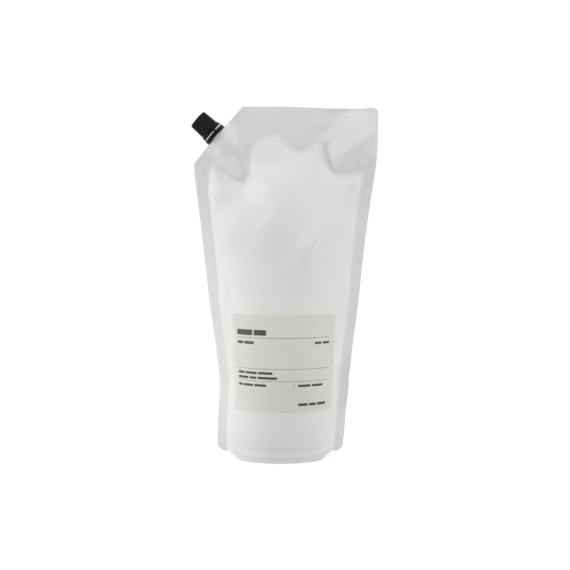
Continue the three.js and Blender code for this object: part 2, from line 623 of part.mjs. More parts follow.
// Cap: skirt, ribbed barrel, roof, and a bore with the matching thread
const LINER_BOTTOM = NECK_TOP + CLEARANCE;
const CAP_CEILING = LINER_BOTTOM + LINER_THICKNESS + CLEARANCE;
const CAP_TOP = CAP_CEILING + CAP_ROOF;
const CAP_BORE = NECK_DIAMETER / 2 + THREAD_HEIGHT + CLEARANCE;
function makeCap() {
  const points = [];
  const faces = [];
  const around = CAP_RIBS * 2;
  const skirtTop = CAP_BOTTOM + CAP_SKIRT_HEIGHT;
  const skirt = CAP_SKIRT_DIAMETER / 2;
  const base = CAP_BASE_DIAMETER / 2;
  const top = CAP_TOP_DIAMETER / 2;
  const rings = [
    [CAP_BOTTOM, skirt - 0.3, 0], [CAP_BOTTOM + 0.3, skirt, 0], [skirtTop - 0.5, skirt, 0],
    [skirtTop, base, 0], [skirtTop + CAP_RIB_START, base, 0],
    [skirtTop + CAP_RIB_START + 0.6, base - 0.03, CAP_RIB_DEPTH],
    [CAP_TOP - CAP_EDGE_ROUNDING - 0.6, top + 0.03, CAP_RIB_DEPTH],
    [CAP_TOP - CAP_EDGE_ROUNDING, top, 0],
    [CAP_TOP - CAP_EDGE_ROUNDING * 0.3, top - CAP_EDGE_ROUNDING * 0.3, 0],
    [CAP_TOP, top - CAP_EDGE_ROUNDING, 0],
  ];
  for (const [height, radius, groove] of rings) {
    for (let j = 0; j < around; j += 1) {
      const angle = (j / around) * 2 * Math.PI;
      const r = radius - (j % 2) * groove;
      points.push([r * Math.cos(angle), r * Math.sin(angle), height]);
    }
  }
  for (let i = 0; i < rings.length - 1; i += 1) {
    for (let j = 0; j < around; j += 1) {
      const [a, b] = [i * around + j, i * around + ((j + 1) % around)];
      faces.push([a, b, b + around], [a, b + around, a + around]);
    }
  }
  const foot = points.push([0, 0, CAP_BOTTOM]) - 1;
  const peak = points.push([0, 0, CAP_TOP]) - 1;
  const lastRing = (rings.length - 1) * around;
  for (let j = 0; j < around; j += 1) {
    const next = (j + 1) % around;
    faces.push([foot, next, j], [peak, lastRing + j, lastRing + next]);
  }
  const outside = toManifold(solid(points, faces));
  const inside = toManifold(turned([
    [0, CAP_BOTTOM - 1], [CAP_BORE, CAP_BOTTOM - 1], [CAP_BORE, CAP_CEILING], [0, CAP_CEILING],
  ]));
  const ridge = toManifold(threadRidge(CAP_BORE + 0.15, CAP_BORE - THREAD_HEIGHT,
    NECK_THREAD_START + THREAD_PITCH / 2, CAP_THREAD_TURNS));
  return toGeometry(outside.subtract(inside).add(ridge));
}

// Liner: the sealing disc under the roof of the cap
function makeLiner() {
  const radius = CAP_BORE - CLEARANCE;
  return turned([
    [0, LINER_BOTTOM], [radius, LINER_BOTTOM], [radius, LINER_BOTTOM + LINER_THICKNESS],
    [0, LINER_BOTTOM + LINER_THICKNESS],
  ]);
}

// The scene
function piece(name, geometry, color, roughness) {
  const mesh = new THREE.Mesh(geometry, new THREE.MeshStandardMaterial({ color, roughness, metalness: 0 }));
  mesh.name = name;
  return mesh;
}

const group = new THREE.Group();
group.add(piece('pouch', makePouch(), 0xe9ebe9, 0.5));
group.add(piece('front_label', makeLabel(), 0xe2e4dd, 0.6));

const spoutGroup = new THREE.Group();
spoutGroup.applyMatrix4(spoutTurn);
spoutGroup.add(piece('spout', makeSpout(), 0xf0efe9, 0.45));
spoutGroup.add(piece('tamper_band', makeBand(), 0x17181a, 0.4));
spoutGroup.add(piece('cap', makeCap(), 0x17181a, 0.4));
spoutGroup.add(piece('cap_liner', makeLiner(), 0xe8e8e4, 0.6));
group.add(spoutGroup);

export default group;
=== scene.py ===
# %% [markdown]
# # Hand soap refill pack
# A one litre stand-up film pouch. Its clipped corner carries a white moulded spout, which a black
# screw cap closes. The solids give the sizes; this script makes the film, the print and the looks.
#
# The first cell loads those solids and keeps only their meshes.

# %% Frame
import math

import bpy
import numpy as np
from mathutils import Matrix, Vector
from mathutils.geometry import delaunay_2d_cdt


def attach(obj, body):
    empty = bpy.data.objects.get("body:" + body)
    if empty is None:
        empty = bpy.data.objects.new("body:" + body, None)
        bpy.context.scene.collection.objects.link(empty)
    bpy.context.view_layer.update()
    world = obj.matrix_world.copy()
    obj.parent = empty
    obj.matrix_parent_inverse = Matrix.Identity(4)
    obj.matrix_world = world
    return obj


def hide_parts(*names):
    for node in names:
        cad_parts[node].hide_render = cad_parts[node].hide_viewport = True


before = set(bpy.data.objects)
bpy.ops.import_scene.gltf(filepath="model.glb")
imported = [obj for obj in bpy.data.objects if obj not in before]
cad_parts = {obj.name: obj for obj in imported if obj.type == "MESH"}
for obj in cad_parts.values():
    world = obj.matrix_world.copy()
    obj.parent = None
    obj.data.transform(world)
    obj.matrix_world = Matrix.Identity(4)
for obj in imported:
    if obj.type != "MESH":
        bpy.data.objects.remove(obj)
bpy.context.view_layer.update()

# %% [markdown]
# ## Colours and a small kit for materials
# Colours are written as sRGB hex values and turned to the linear values that the shader takes.
# `add_node` adds one shader node with its settings. `mottle` lets a colour wander between two
# near tones, and `grain` adds a fine bump.

# %% Material kit
NOISE_LOW, NOISE_HIGH = 0.3, 0.7  # noise values at which a blend starts and ends


def linear(hex_colour):
    channels = [int(hex_colour[i:i + 2], 16) / 255 for i in (1, 3, 5)]
    values = [c / 12.92 if c <= 0.04045 else ((c + 0.055) / 1.055) ** 2.4 for c in channels]
    return (*values, 1.0)


def add_node(owner, kind, inputs=None, **settings):
    node = owner.node_tree.nodes.new(kind)
    for name, value in settings.items():
        setattr(node, name, value)
    for name, value in (inputs or {}).items():
        if isinstance(value, bpy.types.NodeSocket):
            owner.node_tree.links.new(value, node.inputs[name])
        else:
            node.inputs[name].default_value = value
    return node


def link(owner, value, node, name):
    owner.node_tree.links.new(value, node.inputs[name])


def new_material(name, roughness, ior):
    material = bpy.data.materials.new(name)
    material.use_nodes = True
    shader = material.node_tree.nodes["Principled BSDF"]
    shader.inputs["Roughness"].default_value = roughness
    shader.inputs["IOR"].default_value = ior
    return material, shader


def noise(material, scale, detail):
    place = add_node(material, "ShaderNodeTexCoord").outputs["Object"]
    return add_node(material, "ShaderNodeTexNoise", {
        "Vector": place, "Scale": scale, "Detail": detail, "Roughness": 0.5,
    }).outputs["Fac"]


def blend(material, value, low, high):
    node = add_node(material, "ShaderNodeValToRGB", {"Fac": value})
    first, second = node.color_ramp.elements
    first.position, first.color = NOISE_LOW, low
    second.position, second.color = NOISE_HIGH, high
    return node.outputs["Color"]


def mottle(material, shader, scale, low, high, detail=3.0):
    colours = linear(low), linear(high)
    link(material, blend(material, noise(material, scale, detail), *colours), shader, "Base Color")


def grain(material, shader, scale, strength, depth, detail=3.0):
    bump = add_node(material, "ShaderNodeBump", {
        "Height": noise(material, scale, detail), "Strength": strength, "Distance": depth,
    })
    link(material, bump.outputs["Normal"], shader, "Normal")


# %% [markdown]
# ## Film, label, ink and mouldings
# The pouch is a matt white laminate: polyester outside, polyethylene inside, with a soft sheen.
# Its faint mottling is the unevenness of the laminate, and a fine bump, well under a millimetre
# wide, is the matt lacquer. The mouldings are polyethylene and polypropylene with the grain of
# the tool.

# %% Materials
film, film_shader = new_material("matt_white_laminate_film", 0.5, ior=1.5)
mottle(film, film_shader, 28.0, "#e9eae8", "#eeefed")
film_roughness = blend(film, noise(film, 60.0, 3.0), (0.46, 0.46, 0.46, 1), (0.54, 0.54, 0.54, 1))
link(film, film_roughness, film_shader, "Roughness")
film_shader.inputs["Specular IOR Level"].default_value = 0.2
grain(film, film_shader, 1500.0, strength=0.06, depth=0.00004, detail=2.0)

label_film, label_shader = new_material("uncoated_label_film", 0.6, ior=1.48)
mottle(label_film, label_shader, 40.0, "#dfe0d9", "#e3e4dd")
label_shader.inputs["Specular IOR Level"].default_value = 0.2
grain(label_film, label_shader, 2200.0, strength=0.1, depth=0.00003)

ink, ink_shader = new_material("flexo_printed_ink", 0.55, ior=1.5)
mottle(ink, ink_shader, 900.0, "#3d3d3b", "#474745", detail=2.0)

black_plastic, black_shader = new_material("injection_moulded_black_polypropylene", 0.34, ior=1.49)
mottle(black_plastic, black_shader, 300.0, "#060606", "#080808")
black_shader.inputs["Specular IOR Level"].default_value = 0.16
grain(black_plastic, black_shader, 2600.0, strength=0.15, depth=0.00003)

white_plastic, white_shader = new_material("injection_moulded_natural_polyethylene", 0.42, ior=1.51)
mottle(white_plastic, white_shader, 220.0, "#efeee8", "#f3f2ed")
white_shader.inputs["Subsurface Weight"].default_value = 0.1
white_shader.inputs["Subsurface Scale"].default_value = 0.002

foam, foam_shader = new_material("foamed_polyethylene_liner", 0.7, ior=1.4)
mottle(foam, foam_shader, 1200.0, "#dcdcd8", "#e8e8e4")
print("materials:", [material.name for material in bpy.data.materials if material.use_nodes])

# %% [markdown]
# ## Camera
# The photograph looks almost level at the pack from about a metre away, just above its middle.

# %% Camera
CAMERA_X = 0.0012  # metres, like the other places of this cell
camera = bpy.data.objects.new("camera", bpy.data.cameras.new("camera"))
bpy.context.scene.collection.objects.link(camera)
camera.location = (CAMERA_X, -1.0, 0.194)
target = Vector((CAMERA_X, 0.0, 0.1396))
camera.rotation_euler = (target - camera.location).to_track_quat("-Z", "Y").to_euler()
camera.data.sensor_width = 36.0
camera.data.lens = 77.1
bpy.context.scene.camera = camera

# %% [markdown]
# ## Shape of the filled pouch
# A film can bend but not stretch. So each level section is two arcs whose length is the width of
# the panel between the side seals, and one number, the depth, settles both arcs. From here on
# lengths are millimetres, and drops count down from the top edge.

# %% Pouch sizes
MM = 0.001
FLAT_WIDTH, HEIGHT = 150.0, 285.0
SIDE_SEAL, HALF_FILM = 8.0, 0.15
HALF_FLAT = FLAT_WIDTH / 2
HALF_PANEL = HALF_FLAT - SIDE_SEAL
CUT_RUN, CUT_RISE, CUT_ROUNDING = 40.6, 46.2, 0.8  # the clipped corner, along the top and the side
CORNER_RADIUS, FIN_CORNER_RADIUS = 6.0, 6.5  # right top corner, lower ends of the side seals
RIM_HEIGHT, RIM_CREASE, RIM_THICKNESS = 8.4, 0.34, 0.7
GUSSET_GROOVE, GUSSET_RUN = 4.5, 13.0
SPOUT_SHARE, SPOUT_SUNK = 0.48, 0.4  # place along the clipped edge, depth under it
BOAT_LENGTH, BOAT_THICKNESS, BOAT_DEPTH, BOAT_RUNOUT = 29.0, 11.2, 9.0, 15.0
BOAT_TIP, BOAT_FULLNESS = 0.5, 1.3  # half thickness at its ends, how fast it narrows to them
BOAT_COVER = 0.55  # film and slack over the boat

# height, depth of one side of the body
BODY = [
    (0, 41.9), (12, 41.6), (37, 41.4), (62, 41.0), (78, 39.8), (94, 38.4), (110, 36.4), (127, 34.2),
    (146, 32.1), (170, 28.7), (192, 24.6), (212, 19.4), (228, 13.6), (240, 8.4), (252, 4.4),
    (264, 1.4), (285, 0.2),
]
LEAN = [(0, -2.5), (30, -1.5), (60, 0.5), (170, 0.2), (215, 0.6), (240, 1.3), (285, 2.0)]
# share of the half panel, how high the edge of the base stands there
BASE_LIFT = [(0, 0), (0.52, 0), (0.66, 3), (0.78, 4.4), (0.92, 4.2), (1, 2.5)]


def smooth(low, high, value):
    """0 at low, 1 at high and an even S between them; it falls where low is the larger one."""
    t = np.clip((value - low) / (high - low), 0.0, 1.0)
    return t * t * (3 - 2 * t)


def curve(stations, value):
    """A smooth curve through stations, without overshoot between them."""
    xs, ys = (np.array(column, float) for column in zip(*stations))
    rise = np.diff(ys) / np.diff(xs)
    product = rise[:-1] * rise[1:]
    total = np.where(rise[:-1] + rise[1:] == 0, 1.0, rise[:-1] + rise[1:])
    slope = np.concatenate([[rise[0]], np.where(product > 0, 2 * product / total, 0.0), [rise[-1]]])
    at = np.clip(value, xs[0], xs[-1])
    i = np.clip(np.searchsorted(xs, at, side="right") - 1, 0, len(xs) - 2)
    span = xs[i + 1] - xs[i]
    t = (at - xs[i]) / span
    return ((2 * t**3 - 3 * t**2 + 1) * ys[i] + (t**3 - 2 * t**2 + t) * span * slope[i]
            + (3 * t**2 - 2 * t**3) * ys[i + 1] + (t**3 - t**2) * span * slope[i + 1])


arc_angles = np.linspace(0.002, 2.0, 400)
arc_depths = HALF_PANEL / arc_angles * (1 - np.cos(arc_angles))


def swell(height):
    """Half the angle of the arc that the film makes at a height."""
    return np.interp(curve(BODY, height), arc_depths, arc_angles)


CUT_LENGTH = math.hypot(CUT_RUN, CUT_RISE)
CUT_ALONG = np.array([CUT_RUN, CUT_RISE]) / CUT_LENGTH
CUT_OUT = np.array([-CUT_ALONG[1], CUT_ALONG[0]])
CUT_FOOT = np.array([curve(LEAN, HEIGHT - CUT_RISE) - HALF_FLAT, HEIGHT - CUT_RISE])
SPOUT_FOOT = CUT_FOOT + SPOUT_SHARE * CUT_LENGTH * CUT_ALONG - SPOUT_SUNK * CUT_OUT


def cut_place(x, z):
    """Place along the clipped edge, counted from the spout, and depth inside that edge."""
    dx, dz = x - SPOUT_FOOT[0], z - SPOUT_FOOT[1]
    return dx * CUT_ALONG[0] + dz * CUT_ALONG[1], SPOUT_SUNK - (dx * CUT_OUT[0] + dz * CUT_OUT[1])


def boat_half(along):
    share = np.minimum(1.0, np.abs(along) / (BOAT_LENGTH / 2))
    fullness = np.cos(share * math.pi / 2) ** BOAT_FULLNESS
    return BOAT_TIP + (BOAT_THICKNESS / 2 - BOAT_TIP) * fullness


print("spout at, mm:", SPOUT_FOOT.round(2))

# %% [markdown]
# ## Folds of the front film
# Above the shoulder line both films lie flat on each other; below it the front film leaves the
# back one and rounds over into the body. The line dips where the film is pinched into a dent.
# The flat part is a few nearly flat facets, given by the heights of their corners.

# %% Folds
# across, drop, height in front of the middle plane
FRONT_LINE = [
    (-62.8, 66, 0.3), (-61.4, 56, 0.6), (-60, 46.8, 0.8), (-56.6, 44.2, 1.2), (-49.7, 51.6, 2),
    (-41.5, 58.4, 2.6), (-32.6, 61.3, 3), (-28.9, 57.6, 3), (-28.1, 43.8, 2.2), (-27.7, 33.2, 1.5),
    (-23.6, 29.2, 1.2), (-17.1, 23.5, 0.8), (-9, 21, 0.6), (-1.6, 24.3, 0.8), (3.2, 30.8, 1.2),
    (8.1, 35.3, 1.5), (13, 36.9, 1.8), (18.7, 34.8, 1.5), (23.6, 29.6, 1), (30.1, 25.7, 0.8),
    (32.5, 29.1, 1), (35.8, 43, 2), (39, 53.2, 3), (46.4, 52.7, 2.5), (54.6, 51.1, 1.8),
    (61.1, 49.4, 1.2), (67.2, 48.6, 0.6),
]
FRONT_FACETS = [
    (-31.7, 0.8, 0.3), (-13.9, 0.7, -0.2), (5.7, 0.5, 0), (23.6, 1.2, 0), (35, 1.5, -1.2),
    (50.4, 2.4, -1.6), (62.5, 2.1, -0.2), (72.2, 1.4, 1), (76.3, 5.8, 2),
    (-74, 46.1, 1), (-64.4, 36.4, 0), (-56.3, 26.7, 0), (-44, 12.9, 0), (-35, 3.2, 0),
    (76.4, 19.5, 5.6), (76.4, 24, 4.8), (76.2, 33.2, 4.8), (75.8, 47.8, 1), (74.7, 60, 0.2),
    (-50, 35.5, 4.4), (-46, 40, 4.5), (-41, 46.5, 4.8), (-36.8, 54.6, 4.9),
    (-42.5, 36, 1.8), (-38, 42, 1.3), (-35, 48.6, 2), (-33.6, 54, 3),
    (-34.6, 18.5, 0.8), (-32.2, 30, 2.2), (-31, 38, 3), (-31.2, 50, 3.6), (-29.4, 36, 1),
    (-29.6, 48, 2.2),
    (-56, 37.6, 1.4), (-63.6, 42.6, 0.8), (-54.6, 43.6, 2.2), (-46.4, 49.8, 3.9), (-40.6, 54.4, 4.5),
    (-66, 56, 0.4), (-72.5, 60, 0),
    (-40, 14, 0.2), (-32.6, 8, -0.2), (-23.6, 9.7, 0.9), (-22, 21, 0.9),
    (-10.6, 9.7, 0.6), (5.7, 11.3, 0.4), (5.7, 23.5, 1.2), (13.8, 17.8, 1.4), (20.3, 11.3, 1),
    (20.3, 23.4, 1.2), (13, 30, 1.9), (27.3, 14, 0.8), (31.8, 20.1, -0.5), (33.4, 30, -0.6),
    (35.4, 41, 0.4), (38.4, 48.6, 1.8), (40.7, 12.1, 0.2), (42, 27.5, 4.2), (43, 39.7, 7),
    (50.4, 15.4, 3.2), (58.5, 11.4, 3.4), (54.4, 27.7, 8), (72.2, 22.9, 7.2), (64, 28.6, 9),
    (54.3, 35.9, 9.6), (46.8, 43.4, 8.2), (41.8, 49.2, 5.4), (73.4, 26.6, 5.6), (66, 32.6, 6.8),
    (57, 39.4, 7), (49, 46.6, 5.8), (73, 38, 5.8), (64, 43, 6.4), (54, 47, 5.6),
    (-75, 75, 0), (75, 80, 0), (-78, 46, 0.4), (-40, -6, 0), (82, -6, 0.4), (82, 60, 0.2),
]
# soft ridges (+) and hollows (-) of the body: points of the way down, width towards larger x, width
# towards smaller x, height
FRONT_RIDGES = [
    ([(64, 55), (55, 65), (47, 76), (37, 91), (25, 109), (11, 130)], 12, 14, 4.4),
    ([(62, 70), (50, 88), (37, 110), (24, 128)], 9, 10, -1.6),
    ([(-3, 44), (-3, 76), (-9, 93), (-21, 100), (-36, 94), (-48, 82)], 34, 30, 3.8),
    ([(-58, 48), (-59.5, 58), (-60, 76)], 30, 8, 2.8),
    ([(60, 110), (58, 165)], 8, 6, 1.0),
]
BACK_LINE = [
    (-63, 72, 0.3), (-60, 52, 0.8), (-48, 47, 1.2), (-37, 58, 2.2), (-28, 42, 1.2), (-12, 27, 0.6),
    (4, 23, 0.6), (16, 31, 1), (26, 28, 0.8), (38, 50, 2.2), (52, 47, 1.4), (66, 48, 0.5),
]
BACK_RIDGES = [
    ([(-58, 60), (-30, 100), (-14, 150)], 14, 18, 2.6),
    ([(60, 58), (30, 104), (12, 160)], 20, 13, 2.8),
]
TOP_DIP = 1.6  # the curled right half of the top edge stands this much lower
# height, slope at which a side seal leans to the back
LEFT_TURN = [(0, 0.45), (14, 0.6), (30, 0.66), (90, 0.7), (130, 0.5), (190, 0.35), (230, 0)]
RIGHT_TURN = [(0, 0.5), (34, 0.5), (54, 0.1), (74, 0.1), (100, 0.28), (190, 0.28), (235, 0)]


def segment(start, end, x, drop):
    """Share of the way to the nearest point, distance to it, and if x is on the larger side."""
    run_x, run_d = end[0] - start[0], end[1] - start[1]
    from_x, from_d = x - start[0], drop - start[1]
    share = np.clip((from_x * run_x + from_d * run_d) / (run_x**2 + run_d**2), 0, 1)
    gap = np.hypot(from_x - share * run_x, from_d - share * run_d)
    return share, gap, from_x * run_d > from_d * run_x


def nearest(line, x, drop):
    """Distance to a line of points, the height there, and whether the place is below the line."""
    best = np.full(x.shape, np.inf)
    height = np.zeros(x.shape)
    for start, end in zip(line[:-1], line[1:]):
        share, gap, _ = segment(start, end, x, drop)
        height = np.where(gap < best, start[2] + share * (end[2] - start[2]), height)
        best = np.minimum(gap, best)
    far_x, far_drop = 200, 500  # well past the pouch
    ring = [(-far_x, line[0][1]), *(point[:2] for point in line), (far_x, line[-1][1]),
            (far_x, far_drop), (-far_x, far_drop)]
    inside = np.zeros(x.shape, bool)
    for (x0, d0), (x1, d1) in zip(ring, ring[1:] + ring[:1]):
        crosses = (d0 > drop) != (d1 > drop)
        at = x0 + (drop - d0) * (x1 - x0) / (d1 - d0 or 1)
        inside ^= crosses & (x < at)
    return best, height, inside


MERGE_DISTANCE = 1e-4  # corners of facets nearer than that are one
EDGE_SLACK = 1e-6  # lets a place on the edge of two facets count for both


def facet_height(line, others, x, drop):
    """Height of a net of flat facets through points; the edges of the line are facet edges."""
    points = line + others
    flat = [Vector(point[:2]) for point in points]
    edges = [(i, i + 1) for i in range(len(line) - 1)]
    verts, _, faces, origin, _, _ = delaunay_2d_cdt(flat, edges, [], 0, MERGE_DISTANCE)
    heights = [points[source[0]][2] if source else 0.0 for source in origin]
    total = np.zeros(x.shape)
    for a, b, c in faces:
        (ax, ay), (bx, by), (cx, cy) = verts[a], verts[b], verts[c]
        area = (bx - ax) * (cy - ay) - (cx - ax) * (by - ay)
        u = ((x - ax) * (cy - ay) - (cx - ax) * (drop - ay)) / area
        v = ((bx - ax) * (drop - ay) - (x - ax) * (by - ay)) / area
        hit = (u >= -EDGE_SLACK) & (v >= -EDGE_SLACK) & (u + v <= 1 + EDGE_SLACK)
        value = heights[a] + u * (heights[b] - heights[a]) + v * (heights[c] - heights[a])
        total = np.where(hit, value, total)
    return total


RIDGE_RISE = -0.06, 0.14  # shares of its way between which a ridge rises
RIDGE_FALL = 1.08, 0.78  # and between which it dies out
RIDGE_SHARPNESS, RIDGE_FOOT = 1.5, 0.7  # how pointed its crest is, how full its foot


def ridge_height(ridges, x, drop):
    """Height that the ridges and hollows add to the body."""
    total = np.zeros(x.shape)
    for way, right, left, height in ridges:
        best = np.full(x.shape, np.inf)
        width = np.full(x.shape, float(left))
        along = np.zeros(x.shape)
        for k, (start, end) in enumerate(zip(way[:-1], way[1:])):
            share, gap, larger = segment(start, end, x, drop)
            closer = gap < best
            best = np.where(closer, gap, best)
            width = np.where(closer, np.where(larger, right, left), width)
            along = np.where(closer, (k + share) / (len(way) - 1), along)
        share = np.clip(best / width, 0, 1)
        profile = (1 - share) ** RIDGE_SHARPNESS * (1 + RIDGE_FOOT * share)
        total += height * profile * smooth(*RIDGE_RISE, along) * smooth(*RIDGE_FALL, along)
    return total


def blur(grid, radius):
    """A soft brush over a grid of heights, the same number of cells each way."""
    reach = int(3 * radius) + 1
    kernel = np.exp(-0.5 * (np.arange(-reach, reach + 1) / radius) ** 2)
    kernel /= kernel.sum()
    for axis in (0, 1):
        pad = [(reach, reach) if a == axis else (0, 0) for a in (0, 1)]
        padded = np.pad(grid, pad, mode="edge")
        grid = sum(weight * np.take(padded, range(k, k + grid.shape[axis]), axis=axis)
                   for k, weight in enumerate(kernel))
    return grid


# %% [markdown]
# The height of each film is worked out once on an even grid of 0.75 mm, softened a little so that
# creases get the small radius of a 0.15 mm film, and then read off where the mesh needs it.

# %% Height maps
STEP = 0.75
MAP_BESIDE, MAP_BELOW, MAP_ABOVE = 84.0, 4.0, 8.0  # reach past the middle, the base and the top
MAP_BLUR = 1.5  # cells
SHOULDER_SLOPE = 1.05  # of a film just below the shoulder line
SHOULDER_ROUNDING = 7.0  # how softly it turns from there into the body
CORNER_FADE = 9.0  # relief grows to full height over this length from the clipped corner's seal
map_x = np.arange(-MAP_BESIDE, MAP_BESIDE + STEP, STEP)
map_z = np.arange(-MAP_BELOW, HEIGHT + MAP_ABOVE, STEP)
grid_x, grid_z = np.meshgrid(map_x, map_z)
grid_drop = HEIGHT - grid_z
_, grid_inside = cut_place(grid_x, grid_z)


def lens_height():
    """Height of the plain filled body, without folds."""
    angle = swell(grid_z)
    half_chord = HALF_PANEL * np.sin(angle) / angle
    share = np.clip(np.abs(grid_x - curve(LEAN, grid_z)) / half_chord, 0, 1)
    bend = np.arcsin(np.clip(share * np.sin(angle), -1, 1))
    return HALF_PANEL / angle * (np.cos(bend) - np.cos(angle))


def soft_min(a, b, width):
    h = np.clip(0.5 + 0.5 * (b - a) / width, 0, 1)
    return b + (a - b) * h - width * h * (1 - h)


def film_map(line, flat, ridges):
    gap, foot, below = nearest(line, grid_x, grid_drop)
    relief = (ridge_height(ridges, grid_x, grid_drop)
              * smooth(0, CORNER_FADE, grid_inside - SIDE_SEAL))
    round_over = foot + SHOULDER_SLOPE * gap
    body = soft_min(lens_height() + relief, round_over, SHOULDER_ROUNDING)
    return blur(np.where(below, np.maximum(body, foot), flat), MAP_BLUR)


facets = facet_height(FRONT_LINE, FRONT_FACETS, grid_x, grid_drop)
front_map = film_map(FRONT_LINE, facets, FRONT_RIDGES)
flat_map = blur(facets, MAP_BLUR)
back_map = film_map(BACK_LINE, np.zeros(grid_x.shape), BACK_RIDGES)


def read_map(heights, x, z):
    """Heights of a map at any places, between its grid points too."""
    fx = np.clip((x - map_x[0]) / STEP, 0, len(map_x) - 1.001)
    fz = np.clip((z - map_z[0]) / STEP, 0, len(map_z) - 1.001)
    i, j = fz.astype(int), fx.astype(int)
    u, v = fz - i, fx - j
    return ((1 - u) * ((1 - v) * heights[i, j] + v * heights[i, j + 1])
            + u * ((1 - v) * heights[i + 1, j] + v * heights[i + 1, j + 1]))


print("front map from", front_map.min().round(2), "to", front_map.max().round(2), "mm")

# %% [markdown]
# ## From the flat pouch to the filled one
# `film_points` takes places on the flat pouch, across and up, and gives them in the filled pack.
# Above the shoulder the back film lies just behind the front one, so it follows the same facets.

# %% Film points
MAP_FROM, MAP_TO = 120.0, 150.0  # the map takes over from the plain section between these heights
FACETS_FROM, FACETS_TO = 215.0, 236.0  # and the facets of the flat top set in between these
SIDE_FADE = 7.0  # relief grows to full height over this length from the side seals
BOAT_SIDE_FADE, BOAT_SIDE_END = 2.0, 4.0  # from that far inside the boat's ends to that far past
BOAT_NARROWING = 0.6  # share of its length that the hump loses behind the boat
HUMP_BLEND = 3.0  # from this height on the hump hides a dent of the film under it
LIFT_FADE = 34.0  # the lift of the base's edge has died out at this height
DIP_START, DIP_FULL, DIP_EASE, DIP_END = -10.0, 48.0, 62.0, 80.0  # across
DIP_FADE = 60.0  # down from the top edge
RIM_PROFILE = [  # height, how far the film is drawn in
    (0, 0.06), (0.7, 0), (1.5, 0.01), (2.1, 0.13), (2.9, 0.13), (3.6, 0.02),
    (RIM_HEIGHT * 0.7, 0.08), (RIM_HEIGHT, RIM_CREASE), (RIM_HEIGHT + 5, RIM_CREASE * 0.3),
    (RIM_HEIGHT + 14, 0),
]


def hump(x, z):
    """Height that the boat of the spout gives to the film over it."""
    along, inside = cut_place(x, z)
    run = smooth(BOAT_DEPTH, BOAT_DEPTH + BOAT_RUNOUT, inside)
    narrowed = along / (1 - BOAT_NARROWING * run)
    half = BOAT_LENGTH / 2
    beside = smooth(half - BOAT_SIDE_FADE, half + BOAT_SIDE_END, np.abs(narrowed))
    return (boat_half(narrowed) + BOAT_COVER) * (1 - run) * (1 - beside)


def film_points(side, across, height):
    """Places on the front film (side -1) or the back film (side 1) of the filled pack."""
    share = np.clip(across / HALF_PANEL, -1, 1)
    angle = swell(height)
    arc = HALF_PANEL / angle
    inset = curve(RIM_PROFILE, height) * (1 - share**8)
    x = (curve(LEAN, height) + (arc - inset) * np.sin(share * angle)
         + across - share * HALF_PANEL)
    lens = arc * (np.cos(share * angle) - np.cos(angle))
    near_top = smooth(MAP_FROM, MAP_TO, height)
    panel = (smooth(0, SIDE_FADE, HALF_PANEL - np.abs(across))
             * smooth(0, CORNER_FADE, cut_place(x, height)[1] - SIDE_SEAL))
    fold = read_map(flat_map, x, height) * smooth(FACETS_FROM, FACETS_TO, height)
    if side < 0:
        relief = fold + (np.maximum(read_map(front_map, x, height), fold) - fold) * panel
    else:
        relief = np.maximum(read_map(back_map, x, height), HALF_FILM) * panel - fold
        relief = np.maximum(relief, HALF_FILM - fold)
    depth = lens * (1 - near_top) + relief * near_top - inset * np.cos(share * angle)
    depth = np.where(near_top < 1, np.maximum(depth, HALF_FILM), depth)
    swelling = hump(x, height)
    dent = np.minimum(depth, 0) * (1 - smooth(0, HUMP_BLEND, swelling))
    depth = np.hypot(np.maximum(depth, 0), swelling) + dent
    corner = np.maximum(0, np.abs(across) - (HALF_FLAT - FIN_CORNER_RADIUS))
    rounding = FIN_CORNER_RADIUS - np.sqrt(np.maximum(0, FIN_CORNER_RADIUS**2 - corner**2))
    lift = (curve(BASE_LIFT, np.abs(share)) + rounding) * (1 - smooth(0, LIFT_FADE, height))
    dip = (TOP_DIP * smooth(DIP_START, DIP_FULL, x) * smooth(DIP_END, DIP_EASE, x)
           * smooth(HEIGHT - DIP_FADE, HEIGHT, height))
    turn = (curve(LEFT_TURN, height) * np.maximum(0, -across - HALF_PANEL)
            + curve(RIGHT_TURN, height) * np.maximum(0, across - HALF_PANEL))
    return np.stack([x, side * (depth + HALF_FILM) + turn, height + lift - dip], axis=-1)


def left_limit(height):
    """Where the flat pouch begins on the left: the side seal, then the clipped corner."""
    over = (height - CUT_FOOT[1]) / CUT_ROUNDING
    bend = np.where(over > 1, over, np.where(over < -1, 0, (over + 1) ** 2 / 4))
    straight = np.where(over > 0, curve(LEAN, CUT_FOOT[1]) - curve(LEAN, height), 0)
    return -HALF_FLAT + bend * CUT_ROUNDING * CUT_RUN / CUT_RISE + straight


def right_limit(height):
    over = np.maximum(0, height - (HEIGHT - CORNER_RADIUS))
    return HALF_FLAT - CORNER_RADIUS + np.sqrt(np.maximum(0, CORNER_RADIUS**2 - over**2))


LEFT_SQUEEZE, RIGHT_SQUEEZE_START = 1.6, 0.75


def squeeze_columns(column, height):
    """Columns keep their place on the flat pouch and close up where the corners are cut away."""
    t = (column + HALF_FLAT) / FLAT_WIDTH
    left = np.minimum(1, (1 - t) * LEFT_SQUEEZE)
    right = np.maximum(0, (t - RIGHT_SQUEEZE_START) / (1 - RIGHT_SQUEEZE_START))
    return (column + (left_limit(height) + HALF_FLAT) * left
            + (right_limit(height) - HALF_FLAT) * right)


# %% [markdown]
# ## Pouch mesh
# Two grids, front and back, share their outline. Under the pack each column runs on over the rim
# and the gusset to the other film, so the pouch is one closed skin with a fold at its base.

# %% Pouch


def spread(low, high, step):
    return list(np.linspace(low, high, max(1, round((high - low) / step)), endpoint=False))


